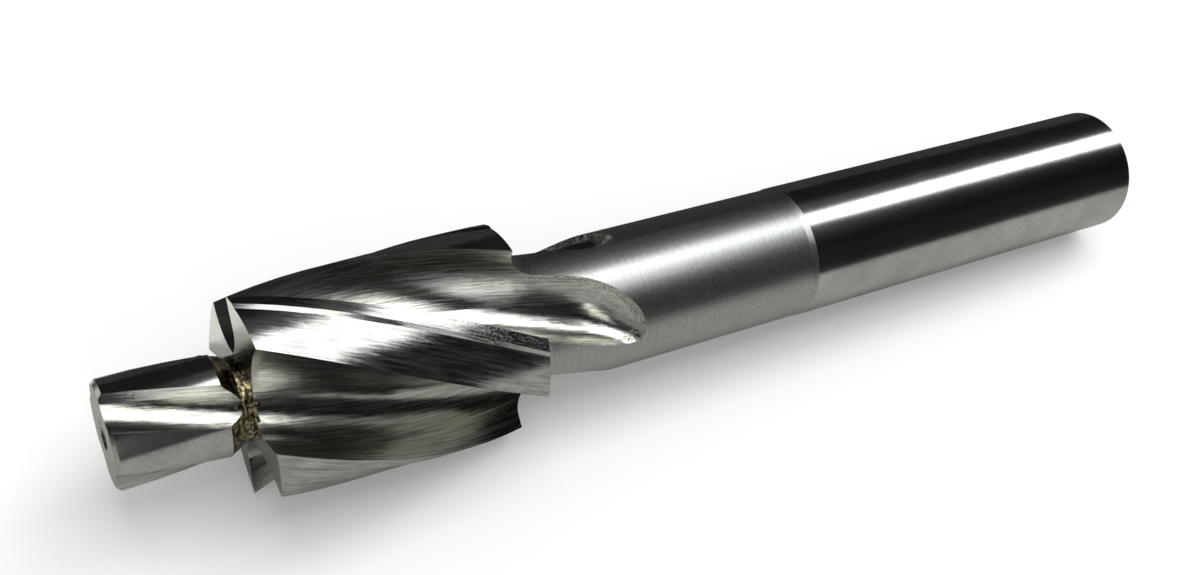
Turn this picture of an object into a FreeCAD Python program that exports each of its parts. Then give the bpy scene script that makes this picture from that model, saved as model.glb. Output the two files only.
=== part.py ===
import FreeCAD, Part
import math
import os

# Counterbore cutter with a fixed pilot, a straight shank and helical flutes.
# It is one piece of high speed steel: pilot, undercut, cutting head, neck and shank.
# While it is shaped, its axis is the X axis, with the pilot towards -X and the rear
# face of the cutting head at x = 0. At the end it is laid down as it rests on a bench.

# Driving dimensions, in millimetres and degrees
shank_diameter = 12.0
shank_length = 39.7
shank_chamfer = 0.5
neck_diameter = 11.86
neck_length = 28.3
neck_fillet = 1.8
collar_chamfer = 0.6
head_diameter = 17.5
head_length = 22.2
undercut_diameter = 6.9
undercut_length = 1.9
undercut_taper_length = 1.25
undercut_rim_diameter = 8.1
undercut_rim_width = 0.15
pilot_diameter = 8.5
pilot_length = 8.3
pilot_chamfer = 0.3
centre_hole_diameter = 2.6
centre_drill_diameter = 1.0
centre_drill_depth = 2.6

# Teeth and flutes
teeth = 4
helix_angle = 26.0
land_angle = 36.4
margin_width = 1.1
margin_step = 0.15
margin_step_width = 0.42
heel_relief = 0.32
end_relief_angle = 5.0
core_diameter = 6.1
hook_angle = 12.0
flute_corner_radius = 2.7
runout_length = 10.6
wheel_radius = 7.7
station_spacing = 3.0
cutter_overrun = 1.0
surface_tolerance = 0.01

# Lengths and radii that follow from them
shank_radius = shank_diameter / 2
neck_radius = neck_diameter / 2
head_radius = head_diameter / 2
undercut_radius = undercut_diameter / 2
pilot_radius = pilot_diameter / 2
core_radius = core_diameter / 2
lip_x = -head_length
pilot_rear_x = lip_x - undercut_length
pilot_front_x = pilot_rear_x - pilot_length
shank_front_x = neck_length
shank_rear_x = neck_length + shank_length
tooth_pitch = 360 / teeth
margin_angle = math.degrees(margin_width / head_radius)
flute_lead = math.pi * head_diameter / math.tan(math.radians(helix_angle))
degrees_per_mm = 360 / flute_lead
clear_of_head = 1.3 * head_radius


def across(x, angle, radius, side=0.0):
    """Point at an axial place, reached along a radius and then square to it."""
    a = math.radians(angle)
    y = -radius * math.sin(a) + side * math.cos(a)
    z = radius * math.cos(a) + side * math.sin(a)
    return FreeCAD.Vector(x, y, z)


def edge_angle(x, tooth=0):
    """Angle round the axis of a tooth's cutting edge, which winds right-handed."""
    return tooth * tooth_pitch + x * degrees_per_mm


def line(start, end):
    return Part.LineSegment(start, end).toShape()


def arc(start, middle, end):
    return Part.Arc(start, middle, end).toShape()


def closed_wire(edges):
    return Part.Wire(Part.__sortEdges__(edges))


# Turned blank
def centre_hole(face_x, inwards):
    """Sixty degree centre for turning and grinding between centres."""
    mouth = centre_hole_diameter / 2
    drill = centre_drill_diameter / 2
    cone = (mouth - drill) / math.tan(math.radians(30))
    steps = [
        (face_x, 0.0),
        (face_x, mouth),
        (face_x + inwards * cone, drill),
        (face_x + inwards * centre_drill_depth, drill),
        (face_x + inwards * (centre_drill_depth + drill), 0.0),
    ]
    return revolved(steps)


def revolved(steps):
    """Solid turned from (x, radius) steps that start and end on the axis."""
    corners = [FreeCAD.Vector(x, 0, radius) for x, radius in steps]
    outline = Part.makePolygon(corners + corners[:1])
    return Part.Face(outline).revolve(FreeCAD.Vector(0, 0, 0), FreeCAD.Vector(1, 0, 0), 360)


def turned_core():
    """Pilot, undercut, neck and shank without the teeth."""
    steps = [
        (pilot_front_x, 0.0),
        (pilot_front_x, pilot_radius - pilot_chamfer),
        (pilot_front_x + pilot_chamfer, pilot_radius),
        (pilot_rear_x, pilot_radius),
        (pilot_rear_x + undercut_rim_width, undercut_rim_diameter / 2),
        (pilot_rear_x + undercut_taper_length, undercut_radius),
        (lip_x + end_drop(), undercut_radius),
        (lip_x + end_drop(), neck_radius),
        (shank_front_x - collar_chamfer, neck_radius),
        (shank_front_x, shank_radius),
        (shank_rear_x - shank_chamfer, shank_radius),
        (shank_rear_x, shank_radius - shank_chamfer),
        (shank_rear_x, 0.0),
    ]
    core = revolved(steps)
    core = core.cut(centre_hole(pilot_front_x, 1))
    return core.cut(centre_hole(shank_rear_x, -1))


# Teeth
def end_drop():
    """How far the end face of a tooth has fallen back by its heel."""
    return head_radius * math.sin(math.radians(land_angle)) * math.tan(math.radians(end_relief_angle))


def head_blank():
    """Cylinder of the teeth, with a small fillet where its rear face meets the neck."""
    root = neck_radius
    middle = neck_fillet * (1 - math.sqrt(0.5))
    start = FreeCAD.Vector(lip_x, 0, 0)
    rim = [
        FreeCAD.Vector(lip_x, 0, head_radius),
        FreeCAD.Vector(0, 0, head_radius),
        FreeCAD.Vector(0, 0, root + neck_fillet),
    ]
    foot = FreeCAD.Vector(neck_fillet, 0, root)
    edges = [line(start, rim[0]), line(rim[0], rim[1]), line(rim[1], rim[2])]
    edges.append(arc(rim[2], FreeCAD.Vector(middle, 0, root + middle), foot))
    edges.append(line(foot, FreeCAD.Vector(neck_fillet, 0, 0)))
    edges.append(line(FreeCAD.Vector(neck_fillet, 0, 0), start))
    face = Part.Face(closed_wire(edges))
    return face.revolve(FreeCAD.Vector(0, 0, 0), FreeCAD.Vector(1, 0, 0), 360)


def end_relief(tooth):
    """Wedge that lets the end face fall back behind the cutting lip."""
    angle = edge_angle(lip_x, tooth)
    run = head_radius
    fall = run * math.tan(math.radians(end_relief_angle))
    corners = [
        across(lip_x, angle, 0.0),
        across(lip_x + fall, angle, 0.0, -run),
        across(lip_x - cutter_overrun, angle, 0.0, -run),
        across(lip_x - cutter_overrun, angle, 0.0),
    ]
    face = Part.Face(Part.makePolygon(corners + corners[:1]))
    return face.extrude(across(0, angle, clear_of_head))


def helical_cutter(section, stations):
    return Part.makeLoft([section(x) for x in stations], True, False)


def spread(start, end, spacing):
    count = math.ceil((end - start) / spacing)
    return [start + (end - start) * i / count for i in range(count + 1)]


def land_radius(behind):
    """Radius of the land at an angle behind the cutting edge: full on the margin, less after it."""
    if behind <= margin_angle:
        return head_radius
    share = (behind - margin_angle) / (land_angle - margin_angle)
    return head_radius - margin_step - share * (heel_relief - margin_step)


def land_clearance(tooth):
    """Cut behind the narrow margin, so that only the margin touches the bore."""
    foot_angle = margin_angle + math.degrees(margin_step_width / head_radius)
    far_angle = land_angle + 4
    middle_angle = (foot_angle + far_angle) / 2

    def section(x):
        base = edge_angle(x, tooth)
        top = across(x, base + margin_angle, head_radius)
        foot = across(x, base + foot_angle, land_radius(foot_angle))
        middle = across(x, base + middle_angle, land_radius(middle_angle))
        heel = across(x, base + far_angle, land_radius(far_angle))
        outer_heel = across(x, base + far_angle, clear_of_head)
        outer_top = across(x, base + margin_angle, clear_of_head)
        edges = [line(top, foot), arc(foot, middle, heel), line(heel, outer_heel)]
        edges += [line(outer_heel, outer_top), line(outer_top, top)]
        return Part.Wire(edges)

    return helical_cutter(section, spread(lip_x - cutter_overrun, cutter_overrun, station_spacing))


# Flutes
def runout_start():
    """Axial place where the wheel starts to climb out, so that it leaves the neck at the run-out."""
    climb = neck_radius - core_radius
    return runout_length - math.sqrt(wheel_radius ** 2 - (wheel_radius - climb) ** 2)


def lift(x):
    """Height of the flute floor over the core, along the arc of the wheel."""
    along = max(0.0, x - runout_start())
    return wheel_radius - math.sqrt(wheel_radius ** 2 - along ** 2)


def flute(tooth):
    """Flute in front of a tooth: hooked rake face, wide round corner at the core and rising back."""
    hook = math.radians(hook_angle)
    corner = flute_corner_radius
    corner_side = (corner + (core_radius + corner - head_radius) * math.sin(hook)) / math.cos(hook)
    foot_side = corner_side - corner * math.cos(hook)
    foot_up = corner * (1 + math.sin(hook))
    outer_side = foot_side + (clear_of_head - foot_up) * math.tan(hook)
    bend = math.radians(45) + hook / 2
    back_angle = math.radians(tooth_pitch - land_angle)
    heel_up = head_radius * math.cos(back_angle) - core_radius
    heel_side = head_radius * math.sin(back_angle)
    run = heel_side - corner_side
    back_radius = (heel_up ** 2 + run ** 2) / (2 * heel_up)
    back_turn = math.asin(run / back_radius) / 2

    def section(x):
        angle = edge_angle(x, tooth)
        floor = core_radius + lift(x)
        outer_rake = across(x, angle, floor + clear_of_head, outer_side)
        rake_foot = across(x, angle, floor + foot_up, foot_side)
        middle_up = floor + corner * (1 - math.cos(bend))
        corner_middle = across(x, angle, middle_up, corner_side - corner * math.sin(bend))
        corner_end = across(x, angle, floor, corner_side)
        back_up = floor + back_radius * (1 - math.cos(back_turn))
        back_middle = across(x, angle, back_up, corner_side + back_radius * math.sin(back_turn))
        heel = across(x, angle, floor + heel_up, heel_side)
        outer_heel = across(x, angle, floor + clear_of_head, clear_of_head)
        edges = [line(outer_rake, rake_foot), arc(rake_foot, corner_middle, corner_end)]
        edges += [arc(corner_end, back_middle, heel)]
        edges += [line(heel, outer_heel), line(outer_heel, outer_rake)]
        return Part.Wire(edges)

    climb_end = runout_start() + 0.88 * wheel_radius
    stations = spread(pilot_front_x - cutter_overrun, runout_start(), station_spacing)
    stations += spread(runout_start(), climb_end, station_spacing / 3)[1:]
    return helical_cutter(section, stations)


# Laying the finished tool on the bench
def resting_pose(solid):
    """Roll and tilt at which the tool lies lowest, on two teeth and the shank's end."""
    balance = solid.CenterOfMass.x
    rear_radius = shank_radius - shank_chamfer / 2
    rear_x = shank_rear_x - shank_chamfer / 2
    points = []
    for tooth in range(teeth):
        for x in spread(lip_x, 0.0, station_spacing / 3):
            for behind in spread(0.0, land_angle, 3.0):
                points.append((x, edge_angle(x, tooth) + behind, land_radius(behind)))

    def pose(down):
        tilt = max(
            math.atan2(radius * math.cos(math.radians(angle - down)) - rear_radius, rear_x - x)
            for x, angle, radius in points
        )
        return rear_radius + (rear_x - balance) * math.tan(tilt), down, tilt

    lowest = min(pose(down) for down in spread(0.0, tooth_pitch, 0.25))
    return lowest[1], math.degrees(lowest[2])


def laid_down(solid):
    """Turn the tool to its resting side, tilt it onto the shank's end and set it on z = 0."""
    down, tilt = resting_pose(solid)
    axis = FreeCAD.Vector(1, 0, 0)
    turns = round((180 - down) / tooth_pitch) * tooth_pitch
    solid.rotate(FreeCAD.Vector(0, 0, 0), axis, 180 - down - turns)
    solid.rotate(FreeCAD.Vector(0, 0, 0), FreeCAD.Vector(0, 1, 0), tilt)
    points = solid.tessellate(surface_tolerance)[0]
    middle_x = (min(p.x for p in points) + max(p.x for p in points)) / 2
    middle_y = (min(p.y for p in points) + max(p.y for p in points)) / 2
    solid.translate(FreeCAD.Vector(-middle_x, -middle_y, -min(p.z for p in points)))
    return solid


# The whole cutter
head = head_blank()
for tooth in range(teeth):
    head = head.cut(land_clearance(tooth))
    head = head.cut(end_relief(tooth))
cutter = turned_core().fuse(head)
for tooth in range(teeth):
    cutter = cutter.cut(flute(tooth))
cutter = laid_down(cutter.Solids[0])

os.makedirs("parts", exist_ok=True)
cutter.exportStep("parts/counterbore.step")
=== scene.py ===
import math

import bmesh
import bpy
from mathutils import Matrix, Vector

# Counterbore cutter lying on a pale bench, on two of its teeth and the end of its shank

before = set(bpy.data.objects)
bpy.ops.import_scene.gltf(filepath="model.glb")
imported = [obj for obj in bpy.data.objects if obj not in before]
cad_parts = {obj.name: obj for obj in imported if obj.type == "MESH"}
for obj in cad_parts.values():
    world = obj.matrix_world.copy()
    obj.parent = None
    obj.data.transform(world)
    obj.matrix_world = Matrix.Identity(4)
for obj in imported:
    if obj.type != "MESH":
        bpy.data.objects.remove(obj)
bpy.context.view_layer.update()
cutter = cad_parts["counterbore"]

MM = 0.001

# The tool's own axes: X along the tool from pilot to shank, from the rear face of the head
tool_origin = Vector((-17.817, 0.0, 8.512)) * MM
tool_roll = math.radians(42.5)
tool_tilt = math.radians(2.1365)
tool_turn = Matrix.Rotation(tool_tilt, 4, "Y") @ Matrix.Rotation(tool_roll, 4, "X")
to_tool = (Matrix.Translation(tool_origin) @ tool_turn).inverted()

# Places along the tool and radii, in millimetres
lip_x = -22.2
undercut_taper_end = -22.8
pilot_rear_x = -24.1
shank_front_x = 28.3
neck_fillet_start = -0.4
neck_fillet_end = 1.8
head_radius = 8.75
neck_radius = 5.93
pilot_radius = 4.25
undercut_radius = 3.45
end_face_drop = 0.9
land_clearance = 0.45
helix_angle = 26.0
turn_per_mm = math.tan(math.radians(helix_angle)) / head_radius

# How near a flat face comes to the round surface that it stands for, in millimetres
near = 0.05
very_near = 0.02

# Cosines that tell faces apart, by how squarely they look outwards, towards the shank or round the tool
squarely_out = 0.98
mostly_out = 0.9
taper_to_shank = 0.3
fillet_to_shank = 0.05
fillet_round = 0.12


# Small helpers
def linear(hex_colour):
    """Linear colour of an sRGB hex value."""
    channels = [int(hex_colour[i : i + 2], 16) / 255 for i in (1, 3, 5)]
    return [c / 12.92 if c <= 0.04045 else ((c + 0.055) / 1.055) ** 2.4 for c in channels] + [1.0]


def add(tree, kind, settings, output=0):
    """Add a node and give back one output. A setting is a property or an input, and a socket is linked.

    A mix of values takes them at inputs 2 and 3. A mix of colours takes them at 6 and 7, and gives output 2.
    """
    node = tree.nodes.new(kind)
    for name, value in settings.items():
        if isinstance(name, str) and hasattr(node, name):
            setattr(node, name, value)
        elif isinstance(value, bpy.types.NodeSocket):
            tree.links.new(value, node.inputs[name])
        else:
            node.inputs[name].default_value = value
    return node.outputs[output] if node.outputs else None


def new_steel(name):
    """Material, its tree, and the surface point in the tool's own axes, in millimetres."""
    material = bpy.data.materials.new(name)
    material.use_nodes = True
    tree = material.node_tree
    tree.nodes.clear()
    here = add(tree, "ShaderNodeTexCoord", {}, "Object")
    axes = {"vector_type": "TEXTURE", "Location": tool_origin, "Rotation": (tool_roll, tool_tilt, 0)}
    place = add(tree, "ShaderNodeMapping", {**axes, "Scale": (MM, MM, MM), "Vector": here})
    return material, tree, place


def stretched(tree, place, along, across=1):
    """The surface point scaled along and across the tool, so that a pattern grows by one over that."""
    scales = (along, across, across)
    return add(tree, "ShaderNodeVectorMath", {"operation": "MULTIPLY", 0: place, 1: scales})


def finish_steel(tree, colour, roughness, height, depth):
    """Metal shader with its bump: depth is the real height of the marks, in millimetres."""
    normal = add(tree, "ShaderNodeBump", {"Distance": depth * MM, "Height": height})
    surface = {"Metallic": 1.0, "Base Color": colour, "Roughness": roughness, "Normal": normal}
    shader = add(tree, "ShaderNodeBsdfPrincipled", surface)
    add(tree, "ShaderNodeOutputMaterial", {"Surface": shader})


# Colours of the steel
ground_light = linear("#D3D4D1")
ground_mid = linear("#BDBFBD")
streak_dark = linear("#6F6C66")
satin_light = linear("#C8CBC6")
satin_dark = linear("#A9ACAB")
handled = linear("#7C7468")
straw = linear("#CBC9A6")
undercut_gold = linear("#DCD2A4")
# Dark brown of the undercut: painted shade of the recessed groove between pilot and teeth
undercut_painted_shade = linear("#382E25")

# Where the values of a noise mostly lie
noise_spread = {"From Min": 0.3, "From Max": 0.7}


# Finishes, with their sizes in millimetres
def polished_steel():
    """High speed steel ground between centres and polished: soft mirror bands with specks of handling."""
    # The rings of grinding are finer, and are drawn 0.11 mm apart to show
    ring_pitch = 0.11
    cloud_size = 4.0
    speck_size = 0.3
    speck_roughness = 0.15
    material, tree, place = new_steel("polished high speed steel")
    along = stretched(tree, place, 1, 0)
    rings = add(
        tree, "ShaderNodeTexNoise", {"Vector": along, "Scale": 1 / ring_pitch, "Detail": 3, "Roughness": 0.6}
    )
    cloud = add(
        tree, "ShaderNodeTexNoise", {"Vector": place, "Scale": 1 / cloud_size, "Detail": 3, "Roughness": 0.5}
    )
    dirt = add(
        tree, "ShaderNodeTexNoise", {"Vector": place, "Scale": 1 / speck_size, "Detail": 4, "Roughness": 0.8}
    )
    specks = add(tree, "ShaderNodeMapRange", {"Value": dirt, "From Min": 0.5, "From Max": 0.7, "To Max": 0.4})
    paler = add(tree, "ShaderNodeMapRange", {"Value": cloud, "From Min": 0.35, "From Max": 0.65})
    clean = add(tree, "ShaderNodeMix", {"data_type": "RGBA", 0: paler, 6: ground_light, 7: ground_mid}, 2)
    colour = add(tree, "ShaderNodeMix", {"data_type": "RGBA", 0: specks, 6: clean, 7: handled}, 2)
    ground = add(tree, "ShaderNodeMapRange", {"Value": rings, **noise_spread, "To Min": 0.13, "To Max": 0.21})
    rougher = {"operation": "MULTIPLY_ADD", 0: specks, 1: speck_roughness, 2: ground}
    roughness = add(tree, "ShaderNodeMath", rougher)
    finish_steel(tree, colour, roughness, rings, depth=0.0006)
    return material


def turned_steel():
    """Finely turned high speed steel, left satin: rings and grain break its light into soft grey."""
    # The rings lie as far apart as the turning tool was fed in one turn
    ring_pitch = 0.17
    grain_size = 0.4
    pit_share = 0.55
    material, tree, place = new_steel("fine turned high speed steel")
    along = stretched(tree, place, 1, 0)
    rings = add(
        tree, "ShaderNodeTexNoise", {"Vector": along, "Scale": 1 / ring_pitch, "Detail": 2, "Roughness": 0.5}
    )
    tight = stretched(tree, place, 2.5)
    pits = add(
        tree, "ShaderNodeTexNoise", {"Vector": tight, "Scale": 1 / grain_size, "Detail": 4, "Roughness": 0.75}
    )
    marks = add(tree, "ShaderNodeMix", {0: pit_share, 2: rings, 3: pits})
    paler = add(tree, "ShaderNodeMapRange", {"Value": marks, "From Min": 0.38, "From Max": 0.62})
    colour = add(tree, "ShaderNodeMix", {"data_type": "RGBA", 0: paler, 6: satin_dark, 7: satin_light}, 2)
    roughness = add(
        tree, "ShaderNodeMapRange", {"Value": marks, **noise_spread, "To Min": 0.29, "To Max": 0.38}
    )
    finish_steel(tree, colour, roughness, marks, depth=0.005)
    return material


def rough_turned_steel():
    """Rough turned high speed steel: coarse rings and grit that sparkle, gold specks on a dark brown ground
    that is painted shade of the recessed groove.
    """
    ring_pitch = 0.33
    grit_size = 0.33
    grit_share = 0.5
    material, tree, place = new_steel("rough turned high speed steel")
    along = stretched(tree, place, 1, 0.3)
    rings = add(
        tree, "ShaderNodeTexNoise", {"Vector": along, "Scale": 1 / ring_pitch, "Detail": 3, "Roughness": 0.7}
    )
    grit = add(
        tree, "ShaderNodeTexNoise", {"Vector": place, "Scale": 1 / grit_size, "Detail": 3, "Roughness": 0.8}
    )
    marks = add(tree, "ShaderNodeMix", {0: grit_share, 2: rings, 3: grit})
    golden = add(tree, "ShaderNodeMapRange", {"Value": marks, "From Min": 0.46, "From Max": 0.62})
    # Gold specks on a dark brown ground of painted shade
    colour = add(tree, "ShaderNodeMix", {"data_type": "RGBA", 0: golden, 6: undercut_painted_shade, 7: undercut_gold}, 2)
    roughness = add(
        tree, "ShaderNodeMapRange", {"Value": marks, **noise_spread, "To Min": 0.26, "To Max": 0.13}
    )
    finish_steel(tree, colour, roughness, marks, depth=0.09)
    return material


def untwisted(tree, place):
    """The surface point with the helix taken out, so that lines along a flute become straight."""
    x = add(tree, "ShaderNodeSeparateXYZ", {"Vector": place}, "X")
    turn = add(tree, "ShaderNodeMath", {"operation": "MULTIPLY", 0: x, 1: -turn_per_mm})
    return add(tree, "ShaderNodeVectorRotate", {"rotation_type": "X_AXIS", "Vector": place, "Angle": turn})


def burr(tree, place, along, outwards, share):
    """Torn specks that grow over one stretch along the tool and over another outwards."""
    # Real burr is finer than this, and is drawn this coarse to show
    speck_size = 0.125
    x = add(tree, "ShaderNodeSeparateXYZ", {"Vector": place}, "X")
    across = stretched(tree, place, 0)
    radius = add(tree, "ShaderNodeVectorMath", {"operation": "LENGTH", 0: across}, "Value")
    torn = add(
        tree, "ShaderNodeTexNoise", {"Vector": place, "Scale": 1 / speck_size, "Detail": 2, "Roughness": 0.7}
    )
    specks = add(
        tree, "ShaderNodeMapRange", {"Value": torn, "From Min": 0.54, "From Max": 0.66, "To Max": share}
    )
    for value, (start, end) in ((x, along), (radius, outwards)):
        grown = add(tree, "ShaderNodeMapRange", {"Value": value, "From Min": start, "From Max": end})
        specks = add(tree, "ShaderNodeMath", {"operation": "MULTIPLY", 0: specks, 1: grown})
    return specks


def ground_flute_steel():
    """Flutes ground by a wheel: bright, streaked along the helix, a straw cast, burr where they run out."""
    # The finest scratches of the wheel don't show, so the streaks are drawn 0.18 mm wide
    streak_size = 0.18
    streak_stretch = 20
    cast_width = 0.9
    cast_stretch = 12.5
    cast_share = 0.5
    burr_height = 0.9
    material, tree, place = new_steel("wheel ground high speed steel")
    straight = untwisted(tree, place)
    fine = stretched(tree, straight, 1 / streak_stretch)
    streaks = add(
        tree, "ShaderNodeTexNoise", {"Vector": fine, "Scale": 1 / streak_size, "Detail": 5, "Roughness": 0.75}
    )
    wide = stretched(tree, straight, 1 / cast_stretch)
    broad = add(
        tree, "ShaderNodeTexNoise", {"Vector": wide, "Scale": 1 / cast_width, "Detail": 3, "Roughness": 0.6}
    )
    warmth = add(
        tree, "ShaderNodeMapRange", {"Value": broad, "From Min": 0.45, "From Max": 0.65, "To Max": 0.5}
    )
    clean = add(tree, "ShaderNodeMix", {"data_type": "RGBA", 0: warmth, 6: ground_light, 7: straw}, 2)
    dark_streaks = {"From Min": 0.36, "From Max": 0.56, "To Min": 0.65, "To Max": 0}
    darkness = add(tree, "ShaderNodeMapRange", {"Value": streaks, **dark_streaks})
    colour = add(tree, "ShaderNodeMix", {"data_type": "RGBA", 0: darkness, 6: clean, 7: streak_dark}, 2)
    roughness = add(
        tree, "ShaderNodeMapRange", {"Value": streaks, **noise_spread, "To Min": 0.12, "To Max": 0.26}
    )
    ripple = add(tree, "ShaderNodeMix", {0: cast_share, 2: streaks, 3: broad})
    run_out_edge = (neck_radius - 0.8, neck_radius - 0.4)
    edge = burr(tree, place, along=(0.5, 3.0), outwards=run_out_edge, share=1.6)
    height = add(tree, "ShaderNodeMath", {"operation": "MULTIPLY_ADD", 0: edge, 1: burr_height, 2: ripple})
    finish_steel(tree, colour, roughness, height, depth=0.02)
    return material


def ground_land_steel():
    """Lands and margins ground round: bright, streaked along the tooth, torn at the rear of the margins."""
    # The finest scratches of the wheel don't show, so the streaks are drawn 0.25 mm wide
    streak_size = 0.25
    streak_stretch = 10
    cloud_size = 2.0
    material, tree, place = new_steel("cylindrically ground high speed steel")
    straight = untwisted(tree, place)
    fine = stretched(tree, straight, 1 / streak_stretch)
    streaks = add(
        tree, "ShaderNodeTexNoise", {"Vector": fine, "Scale": 1 / streak_size, "Detail": 4, "Roughness": 0.7}
    )
    cloud = add(
        tree, "ShaderNodeTexNoise", {"Vector": place, "Scale": 1 / cloud_size, "Detail": 3, "Roughness": 0.5}
    )
    paler = add(tree, "ShaderNodeMapRange", {"Value": cloud, "From Min": 0.4, "From Max": 0.7})
    clean = add(tree, "ShaderNodeMix", {"data_type": "RGBA", 0: paler, 6: ground_light, 7: ground_mid}, 2)
    dark_streaks = {"From Min": 0.4, "From Max": 0.56, "To Min": 0.5, "To Max": 0}
    darkness = add(tree, "ShaderNodeMapRange", {"Value": streaks, **dark_streaks})
    colour = add(tree, "ShaderNodeMix", {"data_type": "RGBA", 0: darkness, 6: clean, 7: streak_dark}, 2)
    roughness = add(
        tree, "ShaderNodeMapRange", {"Value": streaks, **noise_spread, "To Min": 0.12, "To Max": 0.26}
    )
    margin_only = (head_radius - 0.08, head_radius - 0.04)
    edge = burr(tree, place, along=(-16.0, -2.0), outwards=margin_only, share=0.7)
    height = add(tree, "ShaderNodeMath", {"operation": "ADD", 0: streaks, 1: edge})
    finish_steel(tree, colour, roughness, height, depth=0.01)
    return material


# Which finish each face of the cutter carries
finishes = {
    "polished": polished_steel(),
    "turned": turned_steel(),
    "rough turned": rough_turned_steel(),
    "flute": ground_flute_steel(),
    "land": ground_land_steel(),
}


def finish_of(centre, normal, corner_radii):
    """Finish of a face from its centre, its direction and its corners' distances from the tool's axis."""
    x = centre.x
    radius = max(math.hypot(centre.y, centre.z), very_near)
    outward = (normal.y * centre.y + normal.z * centre.z) / radius
    around = abs(normal.z * centre.y - normal.y * centre.z) / radius
    at_undercut_floor = all(abs(corner - undercut_radius) < very_near for corner in corner_radii)

    shank = x > shank_front_x + near
    pilot = x < pilot_rear_x and outward > squarely_out and radius > pilot_radius - near
    neck = x > neck_fillet_end - near and outward > squarely_out and radius > neck_radius - near
    turned_fillet = normal.x > fillet_to_shank and around < fillet_round
    fillet = x > neck_fillet_start and turned_fillet and radius > neck_radius - very_near
    undercut_floor = lip_x + end_face_drop > x > pilot_rear_x and at_undercut_floor
    in_taper = undercut_taper_end > x > pilot_rear_x + very_near
    undercut_taper = in_taper and normal.x > taper_to_shank and radius > undercut_radius - near
    land = outward > mostly_out and radius > head_radius - land_clearance

    if shank or pilot:
        return "polished"
    if neck or fillet:
        return "turned"
    if undercut_floor or undercut_taper:
        return "rough turned"
    return "land" if land else "flute"


def dress(piece):
    """Give each face its finish, by its place on the tool."""
    names = list(finishes)
    piece.data.materials.clear()
    for name in names:
        piece.data.materials.append(finishes[name])
    turn = to_tool.to_3x3()
    for face in piece.data.polygons:
        corners = [(to_tool @ piece.data.vertices[i].co) / MM for i in face.vertices]
        radii = [math.hypot(corner.y, corner.z) for corner in corners]
        centre = sum(corners, Vector()) / len(corners)
        face.material_index = names.index(finish_of(centre, (turn @ face.normal).normalized(), radii))


dress(cutter)


# Bench, cards and lamps, in metres
def aimed(centre, facing, long_way):
    """Place whose Z axis looks along facing and whose Y axis lies as near long_way as it can."""
    z = Vector(facing).normalized()
    x = Vector(long_way).cross(z).normalized()
    turn = Matrix((x, z.cross(x), z)).transposed()
    return Matrix.Translation(Vector(centre)) @ turn.to_4x4()


def card(name, centre, facing, width, length, hex_colour, long_way=(0, 0, 1)):
    """Flat matt card: length along long_way, width square to it."""
    material = bpy.data.materials.new(name)
    material.use_nodes = True
    paint = material.node_tree.nodes["Principled BSDF"]
    paint.inputs["Base Color"].default_value = linear(hex_colour)
    paint.inputs["Roughness"].default_value = 1.0
    paint.inputs["Specular IOR Level"].default_value = 0.0
    shape = bmesh.new()
    place = aimed(centre, facing, long_way) @ Matrix.Diagonal((width, length, 1, 1))
    # The size of a grid is half its width, so this one is 1 across before it is scaled
    bmesh.ops.create_grid(shape, x_segments=1, y_segments=1, size=0.5, matrix=place)
    mesh = bpy.data.meshes.new(name)
    shape.to_mesh(mesh)
    shape.free()
    mesh.materials.append(material)
    piece = bpy.data.objects.new(name, mesh)
    bpy.context.scene.collection.objects.link(piece)
    return piece


def reflection_card(name, centre, facing, width, length, hex_colour, long_way=(0, 0, 1)):
    """Card that only the metal's reflections see, as the room round the bench; the dark bench cards and the
    low card are partly or wholly painted shade.
    """
    piece = card(name, centre, facing, width, length, hex_colour, long_way)
    piece.visible_camera = False
    piece.visible_diffuse = False
    piece.visible_shadow = False


def seen_directly(tree):
    """One for the camera's own rays and for those by way of metal or glass, otherwise nought."""
    kinds = ("Is Camera Ray", "Is Glossy Ray", "Is Transmission Ray")
    camera_ray, glossy_ray, glass_ray = [add(tree, "ShaderNodeLightPath", {}, kind) for kind in kinds]
    either = add(tree, "ShaderNodeMath", {"operation": "MAXIMUM", 0: camera_ray, 1: glossy_ray})
    return add(tree, "ShaderNodeMath", {"operation": "MAXIMUM", 0: either, 1: glass_ray})


def bench():
    """Bench top lit by the lamps, and lifted a little towards white where it is seen."""
    width = 4.0
    seen_lift = 0.09
    top = card("white laminate bench", (0, 0, 0), up, width, width, "#F7F7F5", back)
    tree = top.data.materials[0].node_tree
    paint = tree.nodes["Principled BSDF"]
    paint.inputs["Emission Color"].default_value = (1, 1, 1, 1)
    lift = add(tree, "ShaderNodeMapRange", {"Value": seen_directly(tree), "To Max": seen_lift})
    tree.links.new(lift, paint.inputs["Emission Strength"])


def softbox(name, direction, distance, width, length, radiance, long_way=(0, 0, 1)):
    """Rectangular lamp that shines at the tool with an even brightness."""
    lamp = bpy.data.lights.new(name, "AREA")
    lamp.shape = "RECTANGLE"
    lamp.size = width
    lamp.size_y = length
    # A lamp's power for this radiance all over its face
    lamp.energy = radiance * math.pi * width * length
    piece = bpy.data.objects.new(name, lamp)
    towards = Vector(direction).normalized()
    piece.matrix_world = aimed(towards * distance, towards, long_way)
    bpy.context.scene.collection.objects.link(piece)


def sky():
    """Even fill that shows as white."""
    fill = 0.56
    seen_white = 1.0
    world = bpy.data.worlds.new("studio")
    world.use_nodes = True
    tree = world.node_tree
    tree.nodes.clear()
    seen = seen_directly(tree)
    strength = add(tree, "ShaderNodeMapRange", {"Value": seen, "To Min": fill, "To Max": seen_white})
    light = add(tree, "ShaderNodeBackground", {"Color": (1, 1, 1, 1), "Strength": strength})
    add(tree, "ShaderNodeOutputWorld", {"Surface": light})
    bpy.context.scene.world = world


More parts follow.
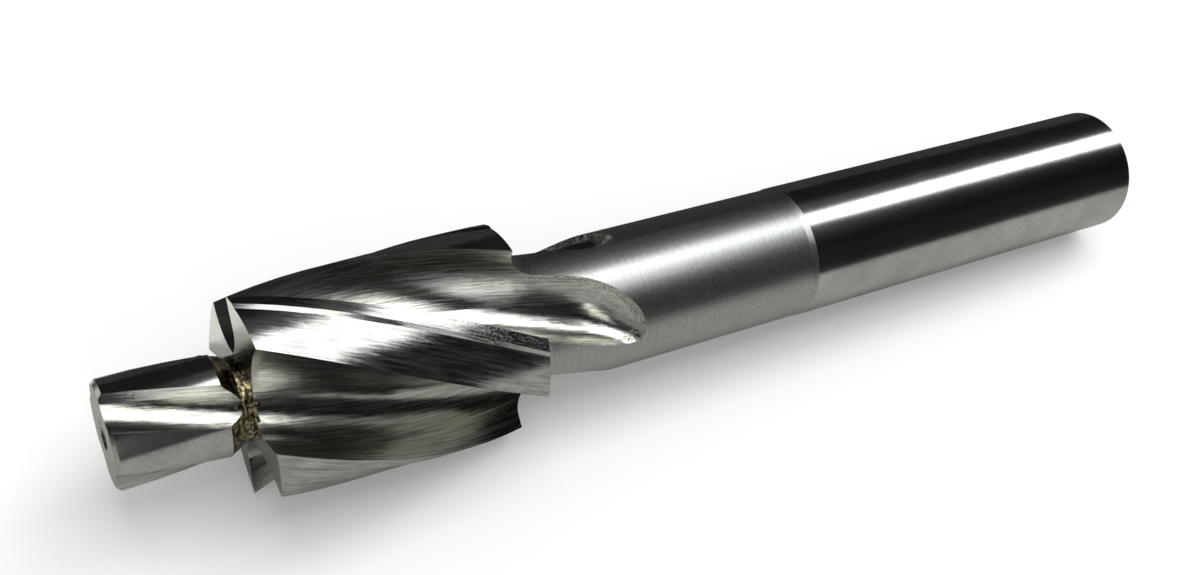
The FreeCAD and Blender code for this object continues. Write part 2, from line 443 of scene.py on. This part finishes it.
def camera():
    """Camera at the photograph's place: left of the head, in front and above."""
    place = Vector((-56.49, -54.19, 101.65)) * MM
    ahead = Vector((0.40860, 0.46896, -0.78300)).normalized()
    sideways = Vector((0.87707, -0.43920, 0.19461))
    right = (sideways - ahead * sideways.dot(ahead)).normalized()
    turn = Matrix((right, right.cross(ahead), -ahead)).transposed()
    lens = bpy.data.cameras.new("camera")
    lens.lens = 41.14
    lens.sensor_width = 36
    lens.shift_x = 0.000625
    lens.shift_y = -0.00433
    lens.clip_start = 0.01
    piece = bpy.data.objects.new("camera", lens)
    piece.matrix_world = Matrix.Translation(place) @ turn.to_4x4()
    bpy.context.scene.collection.objects.link(piece)
    bpy.context.scene.camera = piece


up, down, back = (0, 0, 1), (0, 0, -1), (0, 1, 0)
bench()

# Cards on the bench, seen in the undersides of shank, neck and pilot. The dark bench cards are partly painted
# shadow, standing for the tool's shadow on the bench behind it, and partly the dark room beyond the bench
on_bench = 0.00002
reflection_card("grey bench card", (0, -0.344, on_bench), up, 1.6, 0.712, "#B0AFAB", back)
reflection_card("dark bench card", (0.385, 0.362, on_bench), up, 0.83, 0.70, "#3A3A3C", back)
reflection_card("dark bench card, left", (-0.055, 0.37, on_bench), up, 0.05, 0.70, "#3A3A3C", back)
# Painted shade: a black card standing by the lower tooth, in place of the pilot's and head's shadow on the
# bench that its end face and land reflect
reflection_card("low card", (-0.0275, -0.0175, 0.0035), (-0.755, 0.656, 0), 0.009, 0.007, "#101010")

# Walls, seen in the sides of the tool
wall_y = 0.9
wall_x = 1.4
wall_z = 0.45
wall_height = 0.95
reflection_card("rear wall", (0, wall_y, wall_z), (0, -1, 0), 3.0, wall_height, "#242424")
reflection_card("front wall", (0, -wall_y, wall_z), (0, 1, 0), 3.0, wall_height, "#2A2A2A")
reflection_card("left wall", (-wall_x, 0, wall_z), (1, 0, 0), 1.9, wall_height, "#161616")
reflection_card("right wall", (wall_x, 0, wall_z), (-1, 0, 0), 1.9, wall_height, "#161616")
reflection_card("pale wall corner", (-0.55, -0.6, 0.22), (0.67, 0.74, 0), 0.55, 0.44, "#A8A8A6")

# Ceiling, seen round the bright bands along the top of the tool
ceiling_z = 0.95
reflection_card("right ceiling", (0.7, 0, ceiling_z), down, 1.6, 1.9, "#161616", back)
reflection_card("left ceiling", (-0.75, 0, ceiling_z), down, 1.3, 1.9, "#3A3A3A", back)
reflection_card("rear ceiling", (0.48, 0.46, 0.64), down, 0.76, 0.40, "#5E5E5C", back)

# Lamps: two overhead give the bright bands of head and shank, the strip lights the sides of the flutes
along_shank = (0.97, 0.1, -0.6)
softbox("overhead light, left", (0.08, 0.01, 0.60), 0.605, 0.46, 0.46, radiance=2.4, long_way=back)
softbox("overhead light, right", (0.52, 0.13, 0.60), 0.80, 0.25, 0.46, radiance=2.8, long_way=along_shank)
softbox("side strip", (-0.10, -0.72, 0.33), 0.80, 0.12, 0.60, radiance=2.0)
sky()
camera()
bpy.context.scene.view_settings.view_transform = "Standard"
